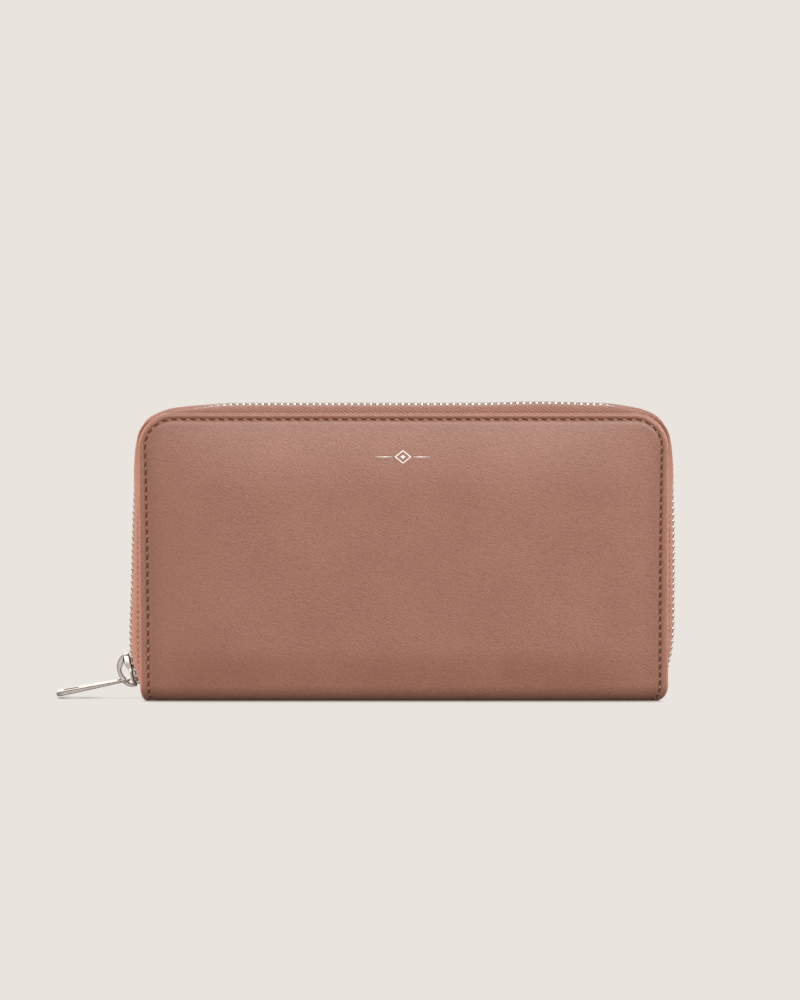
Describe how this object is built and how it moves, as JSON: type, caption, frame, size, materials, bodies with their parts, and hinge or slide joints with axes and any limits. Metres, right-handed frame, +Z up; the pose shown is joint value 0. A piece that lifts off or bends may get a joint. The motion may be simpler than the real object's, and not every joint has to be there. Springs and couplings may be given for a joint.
{
  "type": "zip around wallet",
  "caption": "Zip-around wallet in soft grained leather, standing closed on its folded edge, with card slots, note compartments, a zipped coin pocket and metal sliders with pull tabs.",
  "frame": {"origin": "middle of the flat underside of the folded spine, which the wallet stands on", "axes": "+X along the fold, away from the end where the slider rests; -Y out of the front cover; +Z up, towards the zipped top edge"},
  "size_m": [0.2269, 0.026, 0.1099],
  "materials": {
    "leather": "tan-rose grained leather with a soft sheen, stitched round three sides",
    "lining": "smooth matt lining leather",
    "foam": "thin closed-cell padding",
    "board": "plain grey-brown stiffener board",
    "tape": "twill zip tape, dyed to match the leather",
    "metal": "polished nickel-coloured zip metal"
  },
  "bodies": {
    "root": {"spine_leather": "leather", "spine_lining": "lining", "retaining_box": "metal", "coin_front_wall": "lining", "coin_front_tape": "tape", "coin_front_teeth": "metal", "coin_rear_wall": "lining", "coin_rear_tape": "tape", "coin_rear_teeth": "metal", "coin_floor_seam": "lining", "coin_left_seam": "lining", "coin_left_stop": "metal", "coin_right_seam": "lining", "coin_right_stop": "metal", "gusset_front_left": "lining", "gusset_front_right": "lining", "gusset_back_left": "lining", "gusset_back_right": "lining"},
    "front_leaf": {"front_cover": "leather", "front_foam": "foam", "front_board": "board", "front_lining": "lining", "front_card_layer_upper": "lining", "front_card_layer_middle": "lining", "front_card_layer_lower": "lining", "front_tape": "tape", "front_teeth": "metal", "front_top_stop": "metal"},
    "back_leaf": {"back_cover": "leather", "back_foam": "foam", "back_board": "board", "back_lining": "lining", "back_card_layer_upper": "lining", "back_card_layer_middle": "lining", "back_card_layer_lower": "lining", "back_tape": "tape", "back_teeth": "metal", "back_top_stop": "metal"},
    "slider": {"slider_body": "metal", "slider_bridge": "metal"},
    "pull": {"pull_tab": "metal"},
    "coin_slider": {"coin_slider": "metal"},
    "coin_pull": {"coin_pull": "metal"}
  },
  "joints": [
    {"name": "front_leaf_fold", "type": "hinge", "parent": "root", "child": "front_leaf", "pos_m": [0, -0.007, 0.006], "axis": [1, 0, 0], "range_deg": [0, 20], "deforming": ["gusset_front_left", "gusset_front_right"]},
    {"name": "back_leaf_fold", "type": "hinge", "parent": "root", "child": "back_leaf", "pos_m": [0, 0.007, 0.006], "axis": [-1, 0, 0], "range_deg": [0, 20], "deforming": ["gusset_back_left", "gusset_back_right"]},
    {"name": "slider_travel", "type": "slide", "parent": "back_leaf", "child": "slider", "axis": [0, 0, 1], "range_m": [0, 0.054]},
    {"name": "pull_swing", "type": "hinge", "parent": "slider", "child": "pull", "pos_m": [-0.10249, 0, 0.0073], "axis": [0, 1, 0], "range_deg": [0, 65]},
    {"name": "coin_slider_travel", "type": "slide", "parent": "root", "child": "coin_slider", "axis": [-1, 0, 0], "range_m": [0, 0.14]},
    {"name": "coin_pull_swing", "type": "hinge", "parent": "coin_slider", "child": "coin_pull", "pos_m": [0.0707, 0, 0.0943], "axis": [0, 1, 0], "range_deg": [0, 90]}
  ]
}
